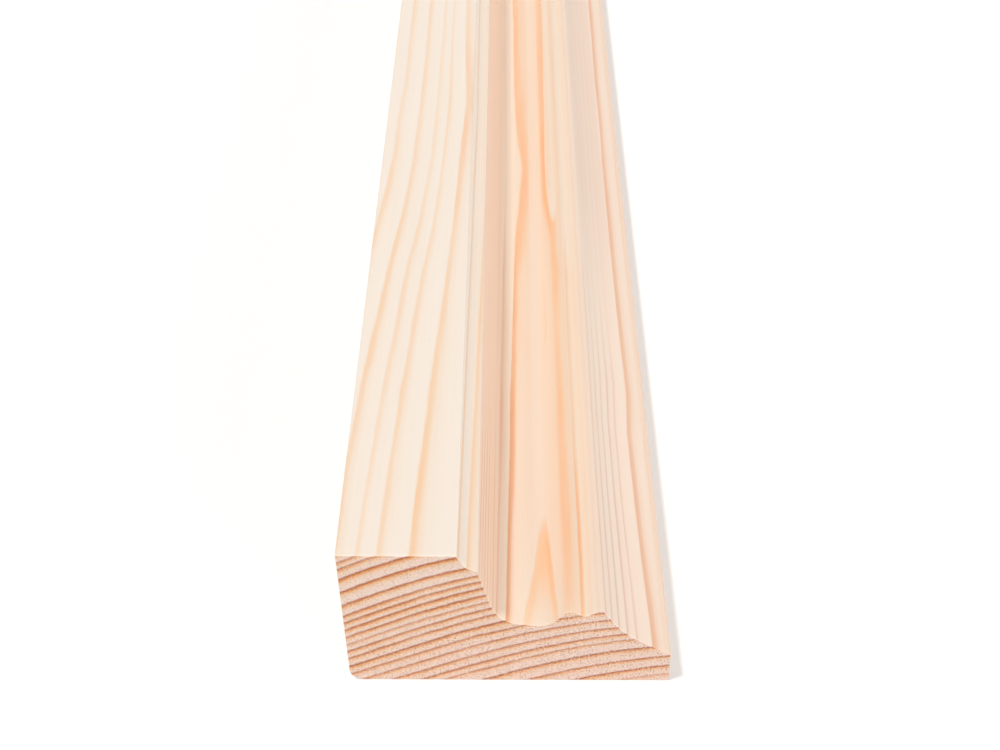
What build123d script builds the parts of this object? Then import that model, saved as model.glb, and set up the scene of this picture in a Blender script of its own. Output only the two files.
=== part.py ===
from build123d import *
import math
import os

# A dado rail: one length of softwood, planed to a moulded section and sawn square at both ends.
# It lies on its flat back. Z is up from the back, Y runs along the length, and X crosses the
# section from the thick nose at low X to the thin toe at high X. The origin is the middle of
# the back. Heights in the section are measured up from the back. All sizes are millimetres.

# The stock
rail_length = 2400.0
rail_width = 44.6

# The nose, whose flat face takes the width that the mouldings beside it leave. Its heel, the arris
# at the back, is well rounded.
nose_thickness = 27.0
nose_arris_radius = 0.2
heel_radius = 2.0
chamfer_run = 1.2
chamfer_drop = 2.4
ledge_run = 1.45
ledge_drop = 0.75
ledge_cove_radius = 1.2

# The step: the steep face that falls from the ledge into the flute
step_lean = 14.0
step_foot_height = 13.3
step_foot_radius = 4.6

# The flute and the small bead beside it, placed back from the crown arris
flute_width = 6.6
flute_floor_height = 12.3
flute_to_crown = 7.2
flute_radius = 3.1
bead_height = 16.0
bead_to_crown = 4.35
bead_radius = 1.1
quirk_height = 14.45
quirk_to_crown = 2.25
quirk_radius = 0.9

# The hollow bevel from the crown arris down to the toe, placed back from the rail's thin edge. The
# toe leans in a little towards its top, and its arris at the back is nearly sharp.
crown_height = 16.1
crown_to_toe = 10.1
crown_radius = 0.5
hollow_height = 10.8
hollow_to_toe = 7.0
hollow_radius = 15.0
toe_thickness = 6.0
toe_lean_run = 0.2
toe_arris_radius = 0.5
toe_back_radius = 0.3


def nose_corners(step_foot_x):
    """Corners of the thick edge as (x, z, radius), from the back over the nose to the step's foot."""
    ledge_z = nose_thickness - chamfer_drop - ledge_drop
    ledge_x = step_foot_x - (ledge_z - step_foot_height) * math.tan(math.radians(step_lean))
    chamfer_foot_x = ledge_x - ledge_run
    return [
        (0.0, 0.0, heel_radius),
        (0.0, nose_thickness, nose_arris_radius),
        (chamfer_foot_x - chamfer_run, nose_thickness, 0.0),
        (chamfer_foot_x, nose_thickness - chamfer_drop, ledge_cove_radius),
        (ledge_x, ledge_z, 0.0),
        (step_foot_x, step_foot_height, step_foot_radius),
    ]


def flute_corners(flute_x, crown_x):
    """Corners of the flute's floor, the bead and the quirk, up to the crown arris."""
    return [
        (flute_x, flute_floor_height, flute_radius),
        (crown_x - bead_to_crown, bead_height, bead_radius),
        (crown_x - quirk_to_crown, quirk_height, quirk_radius),
        (crown_x, crown_height, crown_radius),
    ]


def toe_corners():
    """Corners of the hollow bevel and of the thin edge, back down to the flat back."""
    return [
        (rail_width - hollow_to_toe, hollow_height, hollow_radius),
        (rail_width - toe_lean_run, toe_thickness, toe_arris_radius),
        (rail_width, 0.0, toe_back_radius),
    ]


def section():
    """Closed outline of the moulding, its back on the X axis and centred on the Z axis."""
    crown_x = rail_width - crown_to_toe
    flute_x = crown_x - flute_to_crown
    corners = nose_corners(flute_x - flute_width) + flute_corners(flute_x, crown_x) + toe_corners()
    points = [(x - rail_width / 2, z) for x, z, _ in corners]
    radii = [radius for _, _, radius in corners]
    return make_face(FilletPolyline(*points, radius=radii, close=True))


def dado_rail():
    """The whole rail: its section carried half the length each way from the origin."""
    return extrude(Plane.XZ * section(), rail_length / 2, both=True)


os.makedirs("parts", exist_ok=True)
export_step(dado_rail(), "parts/dado_rail.step")
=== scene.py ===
import math
import random

import bpy
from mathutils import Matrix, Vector, geometry, noise


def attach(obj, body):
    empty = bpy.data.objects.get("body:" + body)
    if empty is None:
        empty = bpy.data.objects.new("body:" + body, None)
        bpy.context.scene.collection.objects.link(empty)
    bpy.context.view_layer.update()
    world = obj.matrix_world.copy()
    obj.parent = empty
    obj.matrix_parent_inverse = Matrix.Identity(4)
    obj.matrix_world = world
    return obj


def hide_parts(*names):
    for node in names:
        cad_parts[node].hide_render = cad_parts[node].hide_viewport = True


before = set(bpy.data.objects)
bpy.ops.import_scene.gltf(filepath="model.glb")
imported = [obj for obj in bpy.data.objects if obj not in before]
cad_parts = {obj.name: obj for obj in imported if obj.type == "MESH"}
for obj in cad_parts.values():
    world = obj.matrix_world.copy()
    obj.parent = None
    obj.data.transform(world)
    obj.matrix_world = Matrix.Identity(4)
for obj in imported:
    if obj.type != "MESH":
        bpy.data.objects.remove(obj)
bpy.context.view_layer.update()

# A length of planed pine dado rail on a white floor. Section sizes are in millimetres, x from the
# nose's outer face and z up from the back, as in the part. Meshes are made in metres.
MM = 0.001
LENGTH = 2400.0
WIDTH = 44.6
NOSE_THICKNESS = 27.0
NOSE_ARRIS = 0.2
HEEL_RADIUS = 2.0
CHAMFER_RUN = 1.2
CHAMFER_DROP = 2.4
LEDGE_RUN = 1.45
LEDGE_DROP = 0.75
LEDGE_COVE = 1.2
STEP_LEAN = 14.0
STEP_FOOT_HEIGHT = 13.3
STEP_FOOT_RADIUS = 4.6
FLUTE_WIDTH = 6.6
FLUTE_FLOOR = 12.3
FLUTE_TO_CROWN = 7.2
FLUTE_RADIUS = 3.1
BEAD_HEIGHT = 16.0
BEAD_TO_CROWN = 4.35
BEAD_RADIUS = 1.1
QUIRK_HEIGHT = 14.45
QUIRK_TO_CROWN = 2.25
QUIRK_RADIUS = 0.9
CROWN_HEIGHT = 16.1
CROWN_TO_TOE = 10.1
CROWN_RADIUS = 0.5
HOLLOW_HEIGHT = 10.8
HOLLOW_TO_TOE = 7.0
HOLLOW_RADIUS = 15.0
TOE_THICKNESS = 6.0
TOE_LEAN_RUN = 0.2
TOE_ARRIS = 0.5
TOE_BACK_RADIUS = 0.3

# How finely the rail is divided: round the outline, at its arcs by the angle in radians, along the
# rail near each end, and over the sawn ends by a grid that is shaken and keeps clear of the rim
OUTLINE_STEP = 0.3
ARC_TURN = 0.16
ARC_LEAST_STEPS = 3
NEAR_STATIONS = [
    0.0, 0.14, 0.35, 0.7, 1.2, 2.0, 3.5, 6.0, 10.0, 18.0, 32.0, 60.0, 110.0, 200.0, 400.0, 700.0, 1000.0,
]
END_GRID = 0.62
END_SHAKE = 0.2
END_CLEARANCE = 0.6
END_SEEDS = (5, 6)
SHARP_ANGLE = 26.0

# How far the saw has worn the ends and their arrises
ARRIS_DEPTH = 0.16
ARRIS_INSET = 0.1
END_RELIEF = 0.07
RIM_SHARE = 0.6
FRAY_REACH = 1.0
FRAY_DEPTH = 0.05

# Where the rail's faces lie on its own texture map: the long faces across the top, with more room for
# the first and last stretch, and the two ends below
MAP_MARGIN = 0.004
LONG_LOW, LONG_HIGH = 0.31, 0.995
NEAR_SHARE = 0.28
NEAR_REACH = 200.0
END_SCALE = 0.0104
END_LEFT = (0.008, 0.508)
END_BOTTOM = 0.008


def section_corners():
    """Corners of the section as (x, z, radius), from the back over the nose and down to the toe."""
    crown_x = WIDTH - CROWN_TO_TOE
    flute_x = crown_x - FLUTE_TO_CROWN
    foot_x = flute_x - FLUTE_WIDTH
    ledge_z = NOSE_THICKNESS - CHAMFER_DROP - LEDGE_DROP
    ledge_x = foot_x - (ledge_z - STEP_FOOT_HEIGHT) * math.tan(math.radians(STEP_LEAN))
    chamfer_x = ledge_x - LEDGE_RUN
    return [
        (0.0, 0.0, HEEL_RADIUS),
        (0.0, NOSE_THICKNESS, NOSE_ARRIS),
        (chamfer_x - CHAMFER_RUN, NOSE_THICKNESS, 0.0),
        (chamfer_x, NOSE_THICKNESS - CHAMFER_DROP, LEDGE_COVE),
        (ledge_x, ledge_z, 0.0),
        (foot_x, STEP_FOOT_HEIGHT, STEP_FOOT_RADIUS),
        (flute_x, FLUTE_FLOOR, FLUTE_RADIUS),
        (crown_x - BEAD_TO_CROWN, BEAD_HEIGHT, BEAD_RADIUS),
        (crown_x - QUIRK_TO_CROWN, QUIRK_HEIGHT, QUIRK_RADIUS),
        (crown_x, CROWN_HEIGHT, CROWN_RADIUS),
        (WIDTH - HOLLOW_TO_TOE, HOLLOW_HEIGHT, HOLLOW_RADIUS),
        (WIDTH - TOE_LEAN_RUN, TOE_THICKNESS, TOE_ARRIS),
        (WIDTH, 0.0, TOE_BACK_RADIUS),
    ]


def rounded(corners):
    """Points round the corners, each corner turned into an arc of its radius."""
    points = []
    for i, (x, z, radius) in enumerate(corners):
        here = Vector((x, z))
        before = Vector(corners[i - 1][:2]) - here
        after = Vector(corners[(i + 1) % len(corners)][:2]) - here
        if radius == 0.0:
            points.append(here)
            continue
        a, b = before.normalized(), after.normalized()
        half = a.angle(b) / 2
        centre = here + (a + b).normalized() * (radius / math.sin(half))
        start = here + a * (radius / math.tan(half)) - centre
        end = here + b * (radius / math.tan(half)) - centre
        turn = start.angle_signed(end)
        by_length = math.ceil(abs(turn) * radius / OUTLINE_STEP)
        steps = max(ARC_LEAST_STEPS, by_length, math.ceil(abs(turn) / ARC_TURN))
        for k in range(steps + 1):
            angle = -turn * k / steps
            c, s = math.cos(angle), math.sin(angle)
            points.append(centre + Vector((start.x * c - start.y * s, start.x * s + start.y * c)))
    return points


def outline():
    """The closed section, its straight runs divided as finely as its arcs."""
    points = rounded(section_corners())
    fine = []
    for i, p in enumerate(points):
        q = points[(i + 1) % len(points)]
        steps = max(1, math.ceil((q - p).length / OUTLINE_STEP))
        fine += [p.lerp(q, k / steps) for k in range(steps)]
    return fine


def inward(points):
    """For each outline point, the unit direction into the wood."""
    found = []
    for i in range(len(points)):
        along = (points[(i + 1) % len(points)] - points[i - 1]).normalized()
        found.append(Vector((along.y, -along.x)))
    return found


def inside(point, loop):
    """True when the point lies within the closed loop."""
    hit = False
    for i, a in enumerate(loop):
        b = loop[i - 1]
        if (a.y > point.y) != (b.y > point.y):
            if point.x < (b.x - a.x) * (point.y - a.y) / (b.y - a.y) + a.x:
                hit = not hit
    return hit


def stations():
    """Distances from the near end at which the rail has a ring of points, close together near each arris."""
    near = [d + ARRIS_DEPTH for d in NEAR_STATIONS]
    return near + [LENGTH / 2] + [LENGTH - d for d in reversed(near)]


def end_points(loop, seed):
    """Points within the sawn end, on a shaken grid clear of its edge."""
    rng = random.Random(seed)
    clear = (END_CLEARANCE * END_GRID) ** 2
    found = []
    for i in range(int(WIDTH / END_GRID) + 1):
        for j in range(int(NOSE_THICKNESS / END_GRID) + 1):
            p = Vector((
                (i + 0.5 * (j % 2) + rng.uniform(-END_SHAKE, END_SHAKE)) * END_GRID,
                (j + rng.uniform(-END_SHAKE, END_SHAKE)) * END_GRID,
            ))
            if inside(p, loop) and min((p - q).length_squared for q in loop) > clear:
                found.append(p)
    return found


def saw_relief(p, end):
    """How deep the sawn end is worn at a point, from nothing to END_RELIEF."""
    coarse = noise.noise(Vector((p.x * 0.35, p.y * 0.35, 11.0 + end)))
    fine = noise.noise(Vector((p.x * 1.7, p.y * 1.1, 29.0 + end)))
    return END_RELIEF * min(1.0, max(0.0, 0.45 + 0.5 * coarse + 0.35 * fine))


def along_map(y):
    """The map's height for a distance along the rail."""
    if y < NEAR_REACH:
        share = NEAR_SHARE * y / NEAR_REACH
    elif y > LENGTH - NEAR_REACH:
        share = 1 - NEAR_SHARE * (LENGTH - y) / NEAR_REACH
    else:
        share = NEAR_SHARE + (1 - 2 * NEAR_SHARE) * (y - NEAR_REACH) / (LENGTH - 2 * NEAR_REACH)
    return LONG_LOW + (LONG_HIGH - LONG_LOW) * share


class Rail:
    """Gathers the rail's points, its faces, and where each face's corners lie on the texture map."""

    def __init__(self):
        self.loop = outline()
        self.count = len(self.loop)
        self.into = inward(self.loop)
        self.rows = stations()
        self.verts, self.faces, self.maps = [], [], []
        self.travel = [0.0]
        for i, p in enumerate(self.loop):
            self.travel.append(self.travel[-1] + (self.loop[(i + 1) % self.count] - p).length)

    def add_point(self, p, y):
        self.verts.append(((p.x - WIDTH / 2) * MM, (y - LENGTH / 2) * MM, p.y * MM))

    def add_worn_point(self, p, end, share=1.0):
        depth = saw_relief(p, end) * share
        self.add_point(p, LENGTH - depth if end else depth)

    def strip(self, i, low, high):
        """The map's corners for the face between outline points i and i + 1."""
        u0, u1 = (MAP_MARGIN + (1 - 2 * MAP_MARGIN) * self.travel[k] / self.travel[-1] for k in (i, i + 1))
        return (u0, low), (u1, low), (u1, high), (u0, high)

    def add_long_faces(self):
        for y in self.rows:
            edge = min(y, LENGTH - y)
            for i, p in enumerate(self.loop):
                fray = 0.0
                if edge < FRAY_REACH:
                    rough = noise.noise(Vector((self.travel[i] * 2.2, 3.0 if y < LENGTH / 2 else 8.0, edge)))
                    fray = (1.0 - edge / FRAY_REACH) ** 3 * FRAY_DEPTH * (0.6 + rough)
                self.add_point(p + self.into[i] * max(0.0, fray), y)
        for r in range(len(self.rows) - 1):
            low, high = along_map(self.rows[r]), along_map(self.rows[r + 1])
            a, b = r * self.count, (r + 1) * self.count
            for i in range(self.count):
                j = (i + 1) % self.count
                self.faces.append((a + i, a + j, b + j, b + i))
                self.maps.append(self.strip(i, low, high))

    def add_end(self, end):
        """The sawn end 0 (near) or 1 (far): a rim just inside the outline, and the worn face within."""
        way = -1 if end else 1
        ring = (len(self.rows) - 1) * self.count if end else 0
        v_ring = along_map(self.rows[-1] if end else self.rows[0])
        v_rim = v_ring - way * MAP_MARGIN
        rim = []
        for i, p in enumerate(self.loop):
            rough = noise.noise(Vector((self.travel[i] * 1.6, 17.0 + end, 0.5)))
            rim.append(p + self.into[i] * ARRIS_INSET * (1.0 + 0.55 * rough))
        rim_start = len(self.verts)
        for p in rim:
            self.add_worn_point(p, end, RIM_SHARE)
        for i in range(self.count):
            j = (i + 1) % self.count
            quad = (rim_start + i, rim_start + j, ring + j, ring + i)
            self.faces.append(quad[::way])
            self.maps.append(self.strip(i, v_rim, v_ring)[::way])

        flat = rim + end_points(rim, END_SEEDS[end])
        edges = [(i, (i + 1) % self.count) for i in range(self.count)]
        points, _, triangles, origin, _, _ = geometry.delaunay_2d_cdt(flat, edges, [], 1, 1e-5)
        number = []
        for p, sources in zip(points, origin):
            if sources and sources[0] < self.count:
                number.append(rim_start + sources[0])
            else:
                number.append(len(self.verts))
                self.add_worn_point(p, end)
        for tri in triangles:
            a, b, c = (points[k] for k in tri)
            if (b - a).cross(c - a) < 0:
                tri = tri[::-1]
            corners = tri[::way]
            self.faces.append(tuple(number[k] for k in corners))
            self.maps.append(tuple(
                (END_LEFT[end] + points[k].x * END_SCALE, END_BOTTOM + points[k].y * END_SCALE)
                for k in corners
            ))

    def build(self):
        self.add_long_faces()
        self.add_end(0)
        self.add_end(1)
        mesh = bpy.data.meshes.new("planed_rail")
        mesh.from_pydata(self.verts, [], self.faces)
        layer = mesh.uv_layers.new(name="OFBake")
        for polygon, spots in zip(mesh.polygons, self.maps):
            for corner, spot in zip(polygon.loop_indices, spots):
                layer.data[corner].uv = spot
        mesh.shade_smooth()
        mesh.set_sharp_from_angle(angle=math.radians(SHARP_ANGLE))
        mesh.validate()
        rail = bpy.data.objects.new("planed_rail", mesh)
        bpy.context.scene.collection.objects.link(rail)
        return rail


def srgb(colour):
    """A colour given as it is seen on a screen, 0 to 255, as the shader's linear one."""
    out = []
    for value in colour:
        v = value / 255
        out.append(v / 12.92 if v <= 0.04045 else ((v + 0.055) / 1.055) ** 2.4)
    return (*out, 1.0)


class Graph:
    """Makes and joins the nodes of one material, or of the world."""

    def __init__(self, owner):
        self.owner = owner
        owner.use_nodes = True
        self.tree = owner.node_tree
        self.tree.nodes.clear()

    def node(self, kind, **settings):
        made = self.tree.nodes.new(kind)
        for key, value in settings.items():
            setattr(made, key, value)
        return made

    def feed(self, socket, value):
        if isinstance(value, bpy.types.NodeSocket):
            self.tree.links.new(value, socket)
        else:
            socket.default_value = value

    def math(self, operation, *values, clamp=False):
        made = self.node("ShaderNodeMath", operation=operation, use_clamp=clamp)
        for socket, value in zip(made.inputs, values):
            self.feed(socket, value)
        return made.outputs[0]

    def chain(self, operation, first, *others):
        for other in others:
            first = self.math(operation, first, other)
        return first

    def add(self, *values):
        return self.chain("ADD", *values)

    def times(self, *values):
        return self.chain("MULTIPLY", *values)

    def line(self, value, slope, start, clamp=False):
        """start + slope * value."""
        return self.math("MULTIPLY_ADD", value, slope, start, clamp=clamp)

    def less(self, whole, part, clamp=False):
        return self.math("SUBTRACT", whole, part, clamp=clamp)

    def split(self, vector):
        made = self.node("ShaderNodeSeparateXYZ")
        self.feed(made.inputs[0], vector)
        return made.outputs

    def vector(self, x, y, z):
        made = self.node("ShaderNodeCombineXYZ")
        for socket, value in zip(made.inputs, (x, y, z)):
            self.feed(socket, value)
        return made.outputs[0]

    def step(self, value, low, high, out_low=0.0, out_high=1.0):
        """Eases from out_low to out_high as value goes from low to high."""
        made = self.node("ShaderNodeMapRange", interpolation_type="SMOOTHSTEP")
        for socket, v in zip(made.inputs, (value, low, high, out_low, out_high)):
            self.feed(socket, v)
        return made.outputs[0]

    def fall(self, value, low, high):
        return self.step(value, low, high, 1.0, 0.0)

    def bell(self, value, centre, spread):
        """1 at the centre, and 1/e at the spread from it on either side."""
        squared = self.math("POWER", self.line(value, 1 / spread, -centre / spread), 2.0)
        return self.math("POWER", math.e, self.times(squared, -1.0))

    def blend(self, factor, a, b):
        """Number a where the factor is 0, b where it is 1."""
        made = self.node("ShaderNodeMix", data_type="FLOAT")
        self.feed(made.inputs["Factor"], factor)
        self.feed(made.inputs[2], a)
        self.feed(made.inputs[3], b)
        return made.outputs[0]

    def tint(self, factor, a, b, mode="MIX"):
        """Colour a where the factor is 0, b where it is 1."""
        made = self.node("ShaderNodeMix", data_type="RGBA", blend_type=mode)
        self.feed(made.inputs["Factor"], factor)
        self.feed(made.inputs[6], a)
        self.feed(made.inputs[7], b)
        return made.outputs[2]

    def shaded(self, colour, shade):
        return self.tint(1.0, colour, self.vector(shade, shade, shade), "MULTIPLY")

    def noise(self, place, scale=1.0, detail=2.0, roughness=0.5):
        made = self.node("ShaderNodeTexNoise", noise_dimensions="3D")
        self.feed(made.inputs["Vector"], place)
        self.feed(made.inputs["Scale"], scale)
        self.feed(made.inputs["Detail"], detail)
        self.feed(made.inputs["Roughness"], roughness)
        return made.outputs[0]

    def curve(self, value, points, length, height=1.0):
        """A curve through (input, output) points, inputs from 0 to length, outputs within height."""
        made = self.node("ShaderNodeFloatCurve")
        mapping = made.mapping
        mapping.use_clip = False
        line = mapping.curves[0]
        for x, y in points[1:-1]:
            line.points.new(x / length, y / height)
        for spot, (x, y) in zip(line.points, points):
            spot.location = (x / length, y / height)
            spot.handle_type = "VECTOR"
        mapping.update()
        self.feed(made.inputs["Value"], self.math("DIVIDE", value, length, clamp=True))
        return self.times(made.outputs[0], height)

    def ramp(self, value, stops):
        made = self.node("ShaderNodeValToRGB")
        band = made.color_ramp
        while len(band.elements) < len(stops):
            band.elements.new(0.5)
        for element, (at, colour) in zip(band.elements, stops):
            element.position = at
            element.color = colour
        self.feed(made.inputs[0], value)
        return made.outputs[0]


class Wood(Graph):
    """A material that knows where on the rail it is: x across, y along and z up, in millimetres."""

    def __init__(self, owner):
        super().__init__(owner)
        spot = self.node("ShaderNodeTexCoord")
        metres = self.split(spot.outputs["Object"])
        self.x = self.line(metres[0], 1 / MM, WIDTH / 2)
        self.y = self.line(metres[1], 1 / MM, LENGTH / 2)
        self.z = self.times(metres[2], 1 / MM)
        self.facing = self.split(spot.outputs["Normal"])

    def stretched(self, across, along):
        """A place for noise, with so many of its units to a millimetre across and along the grain."""
        return self.vector(self.times(self.x, across), self.times(self.y, along), self.times(self.z, across))

    def swing(self, across, along, reach, detail):
        """Noise about nought, mostly within plus and minus reach."""
        place = self.stretched(across, along)
        return self.line(self.noise(place, detail=detail), 3.0 * reach, -1.5 * reach)

    def on(self, band, start=0.0, stop=1.0, near=1.0, far=1.0, above=None):
        """Within a band across the rail, the level near, which eases to far from start to stop along
        the rail. Nothing below the height above, where one is given, and full a millimetre higher."""
        rise, full, turn, gone = band
        level = near if near == far else self.step(self.y, start, stop, near, far)
        found = self.times(self.step(self.x, rise, full), self.fall(self.x, turn, gone), level)
        return found if above is None else self.times(found, self.step(self.z, above, above + 1.0))


# The growth rings. The pith lies off the section, below and beyond the toe, and the years are told
# by the radius of each one's hard outer line. Outermost first, in millimetres.
PITH_X, PITH_Z = 65.4, -99.7
RING_RADII = [
    144.1, 142.4, 140.95, 139.9, 138.24, 136.02, 133.61, 131.69, 130.44, 129.06, 127.59, 126.08,
    124.73, 123.27, 121.52, 119.78, 117.93, 116.01, 114.22, 112.75, 110.55, 108.0, 105.7, 103.69,
]
RING_STRENGTHS = [
    0.55, 0.6, 0.35, 0.5, 0.75, 0.7, 0.6, 0.5, 0.55, 0.65, 0.6, 0.25,
    0.6, 0.6, 1.0, 0.55, 0.5, 0.5, 0.6, 0.4, 0.95, 0.6, 0.85, 0.2,
]
RING_REACH = (84.0, 162.0)
RING_WIDTHS = (1.3, 2.5)
RING_FORCES = (0.3, 0.9)
RING_SEED = 7
WIDEST_RING = 4.0

# The slight swell of the rings, as amounts of powers of a and b, which are x and z from a point in the
# section over the spans given
SWELL_CENTRE = (22.5, 10.0)
SWELL_SPAN = (22.5, 13.5)
SWELL = {(1, 1): 0.829, (1, 2): 1.215, (2, 0): 0.446, (2, 1): 1.313, (3, 0): 0.328, (0, 2): 0.499}

# How far the rings sink below their place at the near end, at distances along the rail. The nose's list
# holds from x = 0, more so on the outer side, as the share at each of the two x in SINK_OUTER says. The
# others take over between the two x that stand before each in SINK_CHANGES. The flame adds to them.
SINK_NOSE = [
    (0, 0.0), (15, 0.23), (30, 0.55), (45, 0.95), (58, 1.3), (66, 1.65),
    (74, 1.95), (82, 2.2), (90, 2.4), (104, 2.5), (115, 2.6), (150, 2.7), (200, 2.6),
]
SINK_STEP = [
    (0, 0.0), (15, 0.22), (30, 0.48), (50, 0.72), (59, 0.9), (74, 1.1), (87, 1.3),
    (99, 1.52), (107, 1.64), (113, 1.58), (123, 1.4), (138, 1.25), (148, 1.19), (200, 1.0),
]
SINK_BEAD = [
    (0, 0.0), (59, 0.0), (79, 0.15), (88, 0.6), (96, 1.1), (110, 1.2),
    (122, 1.05), (137, 0.95), (148, 0.9), (200, 0.6),
]
SINK_TOE = [
    (0, 0.0), (8, -0.21), (15, -0.41), (25, -0.69), (40, -0.81), (50, -0.34), (64, -0.6),
    (79, -0.72), (99, -0.82), (114, -0.86), (128, -0.68), (148, -0.78), (200, -0.7),
]
SINK_FLAME = [
    (0, 0.0), (5, 0.34), (10, 0.54), (15, 0.68), (21, 0.82), (26, 0.92), (60, 0.0), (200, 0.0),
]
SINK_SPAN = 200.0
SINK_OUTER = (3.0, 9.0, 1.16, 1.0)
SINK_CHANGES = [(8.0, 15.0, SINK_STEP), (25.0, 29.0, SINK_BEAD), (31.0, 40.0, SINK_TOE)]

# Two local swellings of the rings, along the flute and along the bead's crest at the near end: the middle
# and the spread across the rail, then where along it each sets in and how far it goes, in millimetres
DIMPLE = (26.6, 2.0)
DIMPLE_ALONG = (32.0, 60.0, 0.0, 0.72)
CREST = (30.09, 0.909)
CREST_ALONG = (-5.0, 4.0, 0.0, 0.38)
CREST_END = (62.0, 92.0)
CREST_ABOVE = (13.0, 15.0)

# The rings' unevenness: waves to a millimetre across and along the grain, how far it moves a ring, in
# millimetres, and its detail. Wander is left out of the first stretch. The last one varies how hard the
# late wood is, by that much of its strength.
WANDER = (1 / 70, 1 / 330, 4.0, 1.0)
WANDER_FROM = (140.0, 480.0)
RIPPLE = (1 / 13, 1 / 55, 0.1, 2.0)
GRIT = (0.42, 1 / 30, 0.085, 3.0)
JAG = (1.7, 1 / 7, 0.055, 2.0)
HARDNESS = (0.16, 1 / 45, 0.3, 3.0)

# Waves to a millimetre across and along the grain of the fine fibre, the broad shade and the resin
# canals, of which most are left out
FIBRE = (3.6, 1 / 26)
BROAD = (0.55, 1 / 90)
CANALS = (1.9, 1 / 9)
CANALS_LEFT_OUT = 0.84

# On the sawn end: scale, detail and roughness of the cells, the scale of the clouds, the waves of the
# rays to a radian, and the radii between which the wood turns darker towards the heart
CELLS = (4.6, 1.0, 0.6)
GLINT_ASIDE = 90.0
CLOUD_SCALE = 0.7
RAYS_ROUND = 430.0
HEARTWARD = (136.0, 114.0)

# Bands across the rail: the x at which each begins, is full, begins to end, and has ended
FLAT = (-2.0, -1.0, 14.9, 15.3)
LEDGE = (15.2, 15.5, 17.8, 18.3)
CHAMFER = (15.2, 15.5, 16.4, 16.8)
PAST_CHAMFER = (16.5, 16.9, 17.9, 18.2)
STEP = (17.6, 18.4, 20.2, 20.8)
FOOT_EDGE = (20.2, 20.8, 22.2, 22.8)
FOOT_STREAK = (20.2, 20.8, 22.7, 23.7)
FOOT = (20.4, 21.4, 22.6, 24.0)
FLUTE = (20.2, 21.6, 33.4, 35.0)
FLUTE_STREAK = (22.4, 23.4, 25.6, 26.6)
FLUTE_MIDDLE = (23.4, 25.6, 28.0, 29.2)
FLAME = (24.4, 25.2, 27.8, 28.8)
FLUTE_BED = (25.6, 26.4, 28.0, 28.6)
BEAD_SIDES = (27.6, 28.2, 30.4, 31.0)
BEAD = (28.2, 28.8, 30.2, 30.8)
PAST_BEAD = (30.3, 30.7, 31.4, 31.8)
QUIRK = (30.2, 30.8, 35.0, 36.0)
QUIRK_LINE = (31.3, 31.7, 32.2, 32.7)
PAST_QUIRK = (32.1, 32.5, 33.8, 34.3)
CROWN_ARRIS = (33.5, 34.1, 34.5, 34.9)
CROWN = (33.8, 34.6, 37.0, 40.0)
BEVEL = (34.6, 35.2, 40.2, 40.9)
BY_TOE = (39.6, 40.6, 43.0, 43.8)
TOE = (43.0, 43.8, 50.0, 51.0)

# How faint the late wood is on parts of the moulded face: the band, then the two distances along the
# rail between which the faintness goes from the third number to the fourth
FAINT = [
    (STEP, 16.0, 42.0, 0.0, 0.85),
    (FLUTE_BED, 20.0, 25.0, 0.0, 0.8),
    (QUIRK, 70.0, 86.0, 0.0, 0.9),
    (PAST_QUIRK, 0.0, 1.0, 0.75, 0.75),
    (FOOT_EDGE, 66.0, 100.0, 0.0, 0.8),
    (FLUTE_STREAK, 66.0, 92.0, 0.0, 0.24),
    (BEVEL, 35.0, 75.0, 0.0, 0.8),
    (FLAT, 30.0, 120.0, 0.0, 0.35),
    (BEAD, 20.0, 50.0, 0.28, 0.05),
    (BEAD, 108.0, 124.0, 0.0, 0.3),
    (TOE, 0.0, 1.0, 0.75, 0.75),
]

# Colours as a screen shows them, 0 to 255. The first of each pair is for faces that look up, the second for
# those that lean towards
# the toe, away from the key light: a warmer, more saturated copy that is painted shade. Deep is the amber of
# the hardest rings.
PALE = (250, 236, 221), (255, 226, 203)
AMBER = (249, 203, 156), (242, 192, 158)
DEEP = (250, 188, 136), (246, 190, 154)
PALE_FLUTE = (245, 226, 206)
CANAL = (206, 156, 126)

# The same three where a band differs: the colour, then the band and how much of the colour it gets, given
# as in the list above. The last one holds only above the height at its end.
PALE_PATCHES = [
    ((255, 241, 226), CHAMFER, 0.0, 1.0, 1.0, 1.0),
    ((247, 228, 209), PAST_CHAMFER, 0.0, 1.0, 1.0, 1.0),
    # Painted shade: a darker strip along the crown's arris
    ((240, 214, 194), CROWN_ARRIS, 0.0, 1.0, 0.6, 0.6),
    ((250, 222, 199), TOE, 0.0, 1.0, 1.0, 1.0),
    ((250, 214, 180), PAST_BEAD, 0.0, 1.0, 0.5, 0.5),
    ((224, 188, 166), BEVEL, 50.0, 110.0, 0.0, 0.26),
    # Painted light: a paler foot, lifting the shadow the step casts on it under the key light
    ((255, 233, 212), FOOT, 0.0, 1.0, 0.7, 0.7),
]
AMBER_PATCHES = [
    ((236, 182, 150), STEP, 0.0, 1.0, 1.0, 1.0),
    ((230, 184, 162), BEVEL, 0.0, 1.0, 1.0, 1.0),
]
DEEP_PATCHES = [
    # Darker amber in the step's foot, full for the first 60 mm: partly the hard ring's darker streak, partly
    # painted shade in the hollow
    ((240, 176, 132), FOOT, 60.0, 110.0, 1.0, 0.4),
    ((241, 189, 156), BY_TOE, 0.0, 1.0, 1.0, 1.0, 4.5),
]

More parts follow.
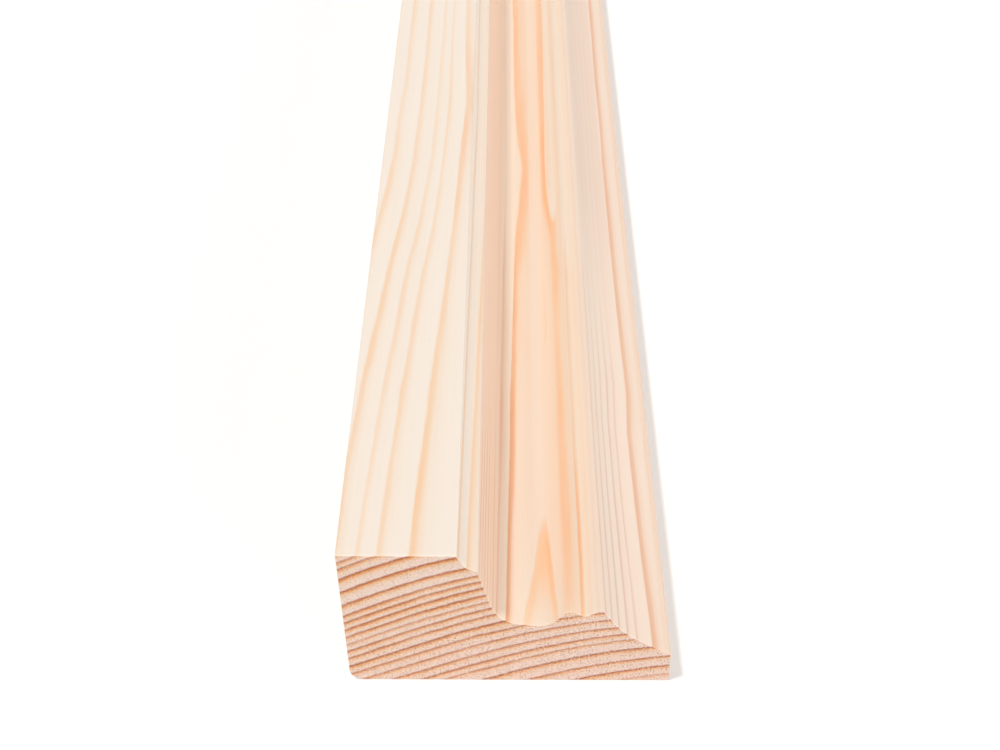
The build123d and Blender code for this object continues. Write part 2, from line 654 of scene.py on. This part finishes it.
# How amber the side grain is, and the colours of the end grain, each by the distance short of the line
# that ends the year, which is 0 at the line itself
SIDE_RAMP = [(0.0, 0.9), (0.04, 1.0), (0.11, 0.85), (0.2, 0.36), (0.32, 0.12), (0.6, 0.0)]
END_RAMP = [
    (0.0, (192, 106, 64)), (0.05, (196, 113, 64)), (0.11, (217, 140, 82)), (0.18, (239, 173, 116)),
    (0.27, (245, 202, 162)), (0.4, (246, 215, 192)), (0.7, (246, 220, 206)), (1.0, (246, 221, 209)),
]
END_WEAK = (240, 196, 166)
END_LINE = (156, 82, 50)
END_SPILL = (204, 140, 128)
END_HEART = (244, 186, 156)
END_PIT = (166, 108, 70)
END_GLINT = (255, 240, 226)


def ring_table():
    """Rings as (radius, strength) from the innermost out, continued past the section at random."""
    rng = random.Random(RING_SEED)
    rings = sorted(zip(RING_RADII, RING_STRENGTHS))
    while rings[0][0] > RING_REACH[0]:
        rings.insert(0, (rings[0][0] - rng.uniform(*RING_WIDTHS), rng.uniform(*RING_FORCES)))
    while rings[-1][0] < RING_REACH[1]:
        rings.append((rings[-1][0] + rng.uniform(*RING_WIDTHS), rng.uniform(*RING_FORCES)))
    return rings


def ring_sink(w):
    """How far the rings sink along the rail, with the two local swellings."""
    sink = w.times(w.curve(w.y, SINK_NOSE, SINK_SPAN), w.step(w.x, *SINK_OUTER))
    for low, high, points in SINK_CHANGES:
        sink = w.blend(w.step(w.x, low, high), sink, w.curve(w.y, points, SINK_SPAN))
    dimple = w.times(w.bell(w.x, *DIMPLE), w.step(w.y, *DIMPLE_ALONG))
    flame = w.times(w.on(FLUTE_MIDDLE), w.curve(w.y, SINK_FLAME, SINK_SPAN))
    crest = w.times(w.bell(w.x, *CREST), w.step(w.y, *CREST_ALONG), w.fall(w.y, *CREST_END))
    crest = w.times(crest, w.step(w.z, *CREST_ABOVE))
    return w.add(sink, dimple, flame, crest)


def ring_radius(w, from_pith_x, from_pith_z):
    """Each point's distance from the pith, with the swell, the sink and the rings' small unevenness."""
    distance = w.math("SQRT", w.add(w.times(from_pith_x, from_pith_x), w.times(from_pith_z, from_pith_z)))
    a, b = (
        w.line(value, 1 / span, -centre / span)
        for value, centre, span in zip((w.x, w.z), SWELL_CENTRE, SWELL_SPAN)
    )
    swell = w.add(*[w.times(*[a] * i, *[b] * j, amount) for (i, j), amount in SWELL.items()])
    wander = w.times(w.swing(*WANDER), w.step(w.y, *WANDER_FROM))
    return w.add(distance, swell, ring_sink(w), wander, w.swing(*RIPPLE), w.swing(*GRIT), w.swing(*JAG))


def read_year(w, radius):
    """How hard the year's late wood is, and how many millimetres the point lies above the line of the
    year before and below the line that ends its own."""
    rings = ring_table()
    last = len(rings) - 1
    low, high = rings[0][0], rings[-1][0]
    years = w.curve(w.add(radius, -low), [(r - low, i) for i, (r, _) in enumerate(rings)], high - low, last)
    year = w.math("FLOOR", years)
    ending = w.add(year, 1.0)
    strength = w.curve(ending, [(i, s) for i, (_, s) in enumerate(rings)], last)
    strength = w.add(strength, w.swing(*HARDNESS))
    widths = [rings[max(i, 1)][0] - rings[max(i, 1) - 1][0] for i in range(len(rings))]
    width = w.curve(ending, list(enumerate(widths)), last, WIDEST_RING)
    above = w.times(w.less(years, year), width)
    return strength, above, w.less(width, above)


def late_wood(w, strength, above, reach):
    """How amber the side grain is, and how deep the amber."""
    soften = w.add(
        w.on(BY_TOE, near=0.19, far=0.19, above=4.5),
        w.on(BEAD_SIDES, 80.0, 98.0, 0.0, 0.22, above=12.0),
        w.times(w.on(FOOT_STREAK, 16.0, 28.0, 0.0, 0.24, above=10.0), w.fall(w.y, 60.0, 74.0)),
    )
    stops = [(at, (level, level, level, 1.0)) for at, level in SIDE_RAMP]
    late = w.ramp(w.times(reach, w.less(0.5, soften)), stops)
    late = w.math("MAXIMUM", late, w.step(above, 0.0, 0.12, 0.5, 0.0))
    flame = w.on(FLAME, 12.0, 28.0, 0.12, 0.0, above=10.0)
    quirk_line = w.on(QUIRK_LINE, 6.0, 40.0, 0.4, 0.02, above=12.0)
    depth = w.add(strength, flame, quirk_line)
    moulded = w.times(w.step(w.z, 4.5, 5.5), w.fall(w.y, 170.0, 320.0))
    faint = w.add(*[w.on(*row) for row in FAINT])
    kept = w.less(1.0, w.times(faint, moulded), clamp=True)
    return w.times(late, w.line(depth, 0.8, 0.2), kept), depth


def patched(w, colour, patches):
    for patch, *where in patches:
        colour = w.tint(w.on(*where), colour, srgb(patch))
    return colour


def side_grain(w, late, depth, fibre):
    """Side grain: pale wood, amber in the last few tenths of a millimetre of each year."""
    # Painted shade: faces that lean towards the toe, away from the key light, get the warmer copy of each
    # colour, less so on the ledge and crown
    painted_warm_shade = w.times(
        w.step(w.facing[0], 0.15, 0.95), w.line(w.on(LEDGE), -0.8, 1.0), w.line(w.on(CROWN), -0.45, 1.0),
    )
    pale, amber, deep = (w.tint(painted_warm_shade, srgb(up), srgb(lean)) for up, lean in (PALE, AMBER, DEEP))
    in_flute = w.times(w.on(FLUTE), w.step(w.z, 8.0, 10.0))
    pale = w.tint(w.times(in_flute, w.less(1.0, painted_warm_shade)), pale, srgb(PALE_FLUTE))
    pale = patched(w, pale, PALE_PATCHES)
    amber = patched(w, amber, AMBER_PATCHES)
    deep = patched(w, deep, DEEP_PATCHES)
    side = w.tint(late, pale, w.tint(w.step(depth, 0.6, 1.0), amber, deep))
    broad = w.noise(w.stretched(*BROAD))
    side = w.shaded(side, w.times(w.line(fibre, 0.05, 0.975), w.line(broad, 0.03, 0.985)))

    # Resin canals: short fine dashes along the grain
    canal = w.node("ShaderNodeTexVoronoi", feature="F1")
    w.feed(canal.inputs["Vector"], w.stretched(*CANALS))
    pick = w.node("ShaderNodeSeparateColor")
    w.feed(pick.inputs[0], canal.outputs["Color"])
    chosen = w.math("GREATER_THAN", pick.outputs[0], CANALS_LEFT_OUT)
    dash = w.times(w.fall(canal.outputs["Distance"], 0.05, 0.13), chosen, 0.6)
    return w.tint(dash, side, srgb(CANAL))


def end_noise(w, scale, detail=2.0, roughness=0.5, aside=0.0):
    """Noise over the sawn end; read so far aside, it is another one."""
    place = w.vector(w.add(w.x, aside), w.times(w.y, 0.4), w.times(w.z, 0.8))
    return w.noise(place, scale, detail, roughness)


def end_grain(w, strength, above, below, reach, heartward, pits, rays):
    """End grain: pale early wood, orange late wood, a dark line that ends the year and frays over it."""
    stops = [(at, srgb(colour)) for at, colour in END_RAMP]
    end = w.ramp(w.times(reach, w.line(heartward, 0.06, 0.42)), stops)
    weak = w.times(w.step(below, 0.7, 0.3), w.line(strength, -1.1, 0.75, clamp=True))
    end = w.tint(weak, end, srgb(END_WEAK))
    dark = w.times(w.step(below, 0.38, 0.05), w.line(strength, 1.2, -0.38, clamp=True))
    end = w.tint(w.times(dark, w.line(heartward, 0.6, 0.4)), end, srgb(END_LINE))
    end = w.tint(w.step(above, 0.0, 0.26, 0.8, 0.0), end, srgb(END_SPILL))
    end = w.tint(w.times(heartward, 0.15), end, srgb(END_HEART))
    clouds = end_noise(w, CLOUD_SCALE)
    end = w.shaded(end, w.times(w.line(rays, 0.16, 0.92), w.line(clouds, 0.08, 0.96)))
    glints = end_noise(w, *CELLS, aside=GLINT_ASIDE)
    torn = w.line(heartward, 0.3, 0.45)
    end = w.tint(w.times(w.step(pits, 0.56, 0.66), torn), end, srgb(END_PIT))
    return w.tint(w.times(w.step(glints, 0.56, 0.68), torn), end, srgb(END_GLINT))


def pine():
    w = Wood(bpy.data.materials.new("planed_pine"))
    on_end = w.step(w.math("ABSOLUTE", w.facing[1]), 0.55, 0.85)
    from_pith_x = w.add(w.x, -PITH_X)
    from_pith_z = w.add(w.z, -PITH_Z)
    radius = ring_radius(w, from_pith_x, from_pith_z)
    strength, above, below = read_year(w, radius)
    reach = w.math("DIVIDE", below, w.line(strength, 0.9, 0.5))
    heartward = w.step(radius, *HEARTWARD)

    # Fibre lines run the length; across the end they are seen as pits, and the rays lead to the pith
    fibre = w.noise(w.stretched(*FIBRE), detail=3.0, roughness=0.6)
    pits = end_noise(w, *CELLS)
    angle = w.math("ARCTAN2", from_pith_x, from_pith_z)
    ray_place = w.vector(w.times(angle, RAYS_ROUND), w.times(radius, 0.5), w.times(w.y, 0.4))
    rays = w.noise(ray_place, roughness=0.6)

    late, depth = late_wood(w, strength, above, reach)
    side = side_grain(w, late, depth, fibre)
    end = end_grain(w, strength, above, below, reach, heartward, pits, rays)

    # Planed faces are smooth with a faint fibre; sawn ends are rougher
    roughness = w.blend(on_end, w.line(fibre, 0.16, 0.5), w.line(pits, 0.2, 0.68))
    side_height = w.add(w.times(fibre, 0.012), w.times(late, 0.006))
    end_height = w.add(w.times(pits, 0.12), w.times(rays, 0.05))
    bump = w.node("ShaderNodeBump")
    bump.inputs["Strength"].default_value = 1.0
    bump.inputs["Distance"].default_value = 1.0
    w.feed(bump.inputs["Height"], w.times(w.blend(on_end, side_height, end_height), MM))

    shader = w.node("ShaderNodeBsdfPrincipled")
    shader.inputs["Specular IOR Level"].default_value = 0.3
    w.feed(shader.inputs["Base Color"], w.tint(on_end, side, end))
    w.feed(shader.inputs["Roughness"], roughness)
    w.feed(shader.inputs["Normal"], bump.outputs[0])
    out = w.node("ShaderNodeOutputMaterial")
    w.feed(out.inputs["Surface"], shader.outputs[0])
    return w.owner


# How bright the room is, and the lamps: a key high on the left, and a low fill from the right in front.
# Lamps stand so many metres from the rail's near part, and level is how bright one makes a white face
# turned to it.
SKY_LEVEL = 0.496
LAMP_TARGET = (0.0, -1.1, 0.0)
KEY = {"towards": (-0.385, -0.14, 1.0), "reach": 10.0, "size": 1.15, "level": 0.428}
FILL = {"towards": (0.62, -0.66, 0.3), "reach": 12.0, "size": 6.4, "level": 0.32}

# The floor, just clear of the rail's back. It glows a little where the camera or a reflection sees it, so
# that it looks white. FLOOR_GLOW gives two distances from the origin and the glow at each.
FLOOR_HALF = 30.0
FLOOR_DROP = 0.00002
FLOOR_GREY = 0.9
FLOOR_GLOW = (1.5, 8.0, 0.16, 0.6)

# The camera, at the photograph's viewing angle
SENSOR_WIDTH = 36.0
LENS = 48.372
CLIP_START = 0.01
CAMERA_PLACE = (-0.000875, -1.308789, 0.159345)
CAMERA_TILT = 47.1095
CAMERA_TURN = 0.2463


def seen_directly(g):
    """1 for rays from the camera and for those seen in gloss or through glass, else 0."""
    path = g.node("ShaderNodeLightPath")
    rays = ("Is Camera Ray", "Is Glossy Ray", "Is Transmission Ray")
    return g.chain("MAXIMUM", *[path.outputs[ray] for ray in rays])


def add_floor():
    mesh = bpy.data.meshes.new("floor")
    signs = [(-1, -1), (1, -1), (1, 1), (-1, 1)]
    mesh.from_pydata([(x * FLOOR_HALF, y * FLOOR_HALF, 0) for x, y in signs], [], [(0, 1, 2, 3)])
    floor = bpy.data.objects.new("floor", mesh)
    floor.location.z = -FLOOR_DROP
    bpy.context.scene.collection.objects.link(floor)
    g = Graph(bpy.data.materials.new("white_floor"))
    diffuse = g.node("ShaderNodeBsdfDiffuse")
    diffuse.inputs["Color"].default_value = (FLOOR_GREY, FLOOR_GREY, FLOOR_GREY, 1.0)
    glow = g.node("ShaderNodeEmission")
    place = g.node("ShaderNodeTexCoord")
    away = g.node("ShaderNodeVectorMath", operation="LENGTH")
    g.feed(away.inputs[0], place.outputs["Object"])
    level = g.step(away.outputs["Value"], *FLOOR_GLOW)
    g.feed(glow.inputs["Strength"], g.times(seen_directly(g), level))
    both = g.node("ShaderNodeAddShader")
    g.feed(both.inputs[0], diffuse.outputs[0])
    g.feed(both.inputs[1], glow.outputs[0])
    out = g.node("ShaderNodeOutputMaterial")
    g.feed(out.inputs["Surface"], both.outputs[0])
    mesh.materials.append(g.owner)


def add_world():
    """A plain sky that is white where the camera or a reflection sees it."""
    world = bpy.data.worlds.new("white_room")
    bpy.context.scene.world = world
    g = Graph(world)
    background = g.node("ShaderNodeBackground")
    background.inputs["Color"].default_value = (1.0, 1.0, 1.0, 1.0)
    g.feed(background.inputs["Strength"], g.line(seen_directly(g), 1.0 - SKY_LEVEL, SKY_LEVEL))
    out = g.node("ShaderNodeOutputWorld")
    g.feed(out.inputs["Surface"], background.outputs[0])


def add_lamp(name, towards, reach, size, level):
    target = Vector(LAMP_TARGET)
    place = target + Vector(towards).normalized() * reach
    light = bpy.data.lights.new(name, "AREA")
    light.shape = "SQUARE"
    light.size = size
    light.energy = level * math.pi ** 2 * reach ** 2
    lamp = bpy.data.objects.new(name, light)
    lamp.location = place
    lamp.rotation_euler = (target - place).to_track_quat("-Z", "Y").to_euler()
    bpy.context.scene.collection.objects.link(lamp)


def add_camera():
    data = bpy.data.cameras.new("camera")
    data.sensor_width = SENSOR_WIDTH
    data.lens = LENS
    data.clip_start = CLIP_START
    camera = bpy.data.objects.new("camera", data)
    camera.location = CAMERA_PLACE
    camera.rotation_euler = (math.radians(CAMERA_TILT), 0.0, math.radians(CAMERA_TURN))
    bpy.context.scene.collection.objects.link(camera)
    bpy.context.scene.camera = camera


rail = Rail().build()
rail.data.materials.append(pine())
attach(rail, "root")
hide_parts("dado_rail")

add_floor()
add_world()
add_lamp("key", **KEY)
add_lamp("fill", **FILL)
add_camera()
bpy.context.scene.view_settings.view_transform = "Standard"

bpy.context.view_layer.update()
